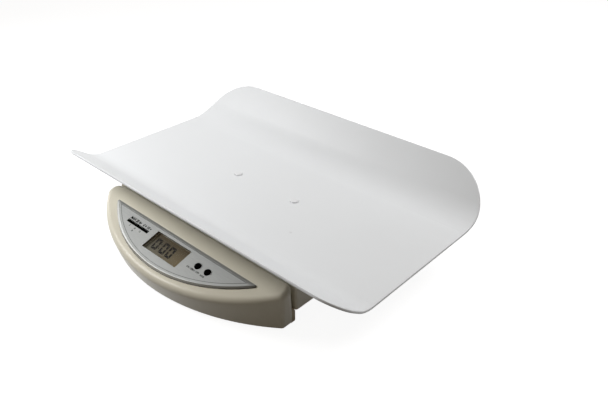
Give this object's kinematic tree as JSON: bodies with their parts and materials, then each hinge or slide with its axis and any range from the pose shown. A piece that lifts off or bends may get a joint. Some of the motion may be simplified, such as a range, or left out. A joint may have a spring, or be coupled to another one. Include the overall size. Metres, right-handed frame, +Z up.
{
  "type": "digital baby weighing scale",
  "caption": "Digital baby weighing scale: a dished white tray on a load-cell platform, with a bow-fronted cream display head, LCD and two push buttons.",
  "frame": {"origin": "on the table, under the middle of the scale's outline", "axes": "+X across the scale to the right as seen from the display, +Y from the display to the tray's tall back wall, +Z up"},
  "size_m": [0.56, 0.3958, 0.1202],
  "materials": {
    "tray_plastic": "gloss",
    "cream_plastic": "gloss",
    "housing_plastic": "satin",
    "silver_trim": "satin",
    "silver_label": "brushed",
    "clear_lens": "gloss",
    "lcd": "gloss",
    "black_plastic": "gloss",
    "dark_rubber": "matte",
    "board_green": "satin",
    "component_black": "satin",
    "zinc_steel": "plated",
    "cell_aluminium": "milled",
    "sealant": "satin",
    "cell_jacket": "gloss"
  },
  "bodies": {
    "base": {"bottom_housing": "housing_plastic", "head_cover": "cream_plastic", "faceplate": "silver_trim", "faceplate_overlay": "silver_label", "display_lens": "clear_lens", "lcd_glass": "lcd", "lcd_frame": "black_plastic", "connector_strips": "dark_rubber", "main_board": "board_green", "board_components": "component_black", "board_screws": "zinc_steel", "tact_switches": "black_plastic", "housing_screws": "zinc_steel", "rubber_feet": "dark_rubber", "base_plate": "zinc_steel", "base_plate_screws": "zinc_steel", "overload_stops": "zinc_steel", "lower_spacer": "cell_aluminium", "lower_cell_screws": "zinc_steel", "load_cell": "cell_aluminium", "gauge_sealant": "sealant", "battery_cells": "cell_jacket", "battery_contacts": "zinc_steel", "load_cell_lead": "dark_rubber", "battery_lead": "dark_rubber"},
    "platform": {"platform_cover": "cream_plastic", "platform_frame": "zinc_steel", "frame_screws": "zinc_steel", "upper_spacer": "cell_aluminium", "upper_cell_screws": "zinc_steel", "tray": "tray_plastic", "tray_screws": "zinc_steel", "tray_nuts": "zinc_steel", "tray_screw_caps": "tray_plastic"},
    "power_button": {"power_button": "black_plastic", "power_plunger": "black_plastic"},
    "hold_button": {"hold_button": "black_plastic", "hold_plunger": "black_plastic"},
    "battery_door": {"battery_door": "housing_plastic"}
  },
  "joints": [
    {"name": "platform_sink", "type": "slide", "parent": "base", "child": "platform", "axis": [0, 0, 1], "range_m": [-0.0005, 0], "stiffness_N_per_m": 400000, "deforming": ["load_cell"]},
    {"name": "power_press", "type": "slide", "parent": "base", "child": "power_button", "axis": [0, -0.2924, 0.9563], "range_m": [-0.0006, 0], "stiffness_N_per_m": 900, "springref_m": 0.0002},
    {"name": "hold_press", "type": "slide", "parent": "base", "child": "hold_button", "axis": [0, -0.2924, 0.9563], "range_m": [-0.0006, 0], "stiffness_N_per_m": 900, "springref_m": 0.0002},
    {"name": "battery_door_slide", "type": "slide", "parent": "base", "child": "battery_door", "axis": [-1, 0, 0], "range_m": [0, 0.055]}
  ]
}
